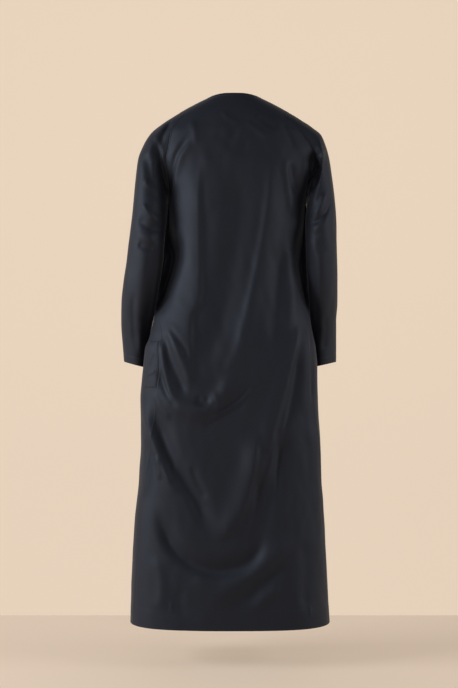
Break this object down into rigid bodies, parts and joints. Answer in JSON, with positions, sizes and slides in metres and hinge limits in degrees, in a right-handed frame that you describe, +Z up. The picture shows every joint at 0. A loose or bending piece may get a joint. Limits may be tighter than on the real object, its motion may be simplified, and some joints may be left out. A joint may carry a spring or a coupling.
{
  "type": "thobe",
  "caption": "Long black collarless thobe with straight long sleeves, a narrow neckband and a side pocket, hollow as worn, standing legs apart.",
  "frame": {"origin": "on the garment's midline at the height of the neck ends of the shoulder seams, where it hangs on the wearer's shoulders", "axes": "+Z up, -Y the wearer's front, +X the wearer's left"},
  "size_m": [0.6023, 0.2808, 1.4547],
  "materials": {
    "back": "black fine twill with a soft sheen",
    "front": "black fine twill with a soft sheen",
    "sleeve_left": "black fine twill with a soft sheen",
    "sleeve_right": "black fine twill with a soft sheen",
    "neckband": "black fine twill with a soft sheen",
    "placket": "black fine twill with a soft sheen",
    "pocket_left": "black fine twill with a soft sheen"
  },
  "bodies": {
    "root": {"back": "back", "front": "front", "sleeve_left": "sleeve_left", "sleeve_right": "sleeve_right", "neckband": "neckband", "placket": "placket", "pocket_left": "pocket_left"}
  },
  "joints": []
}
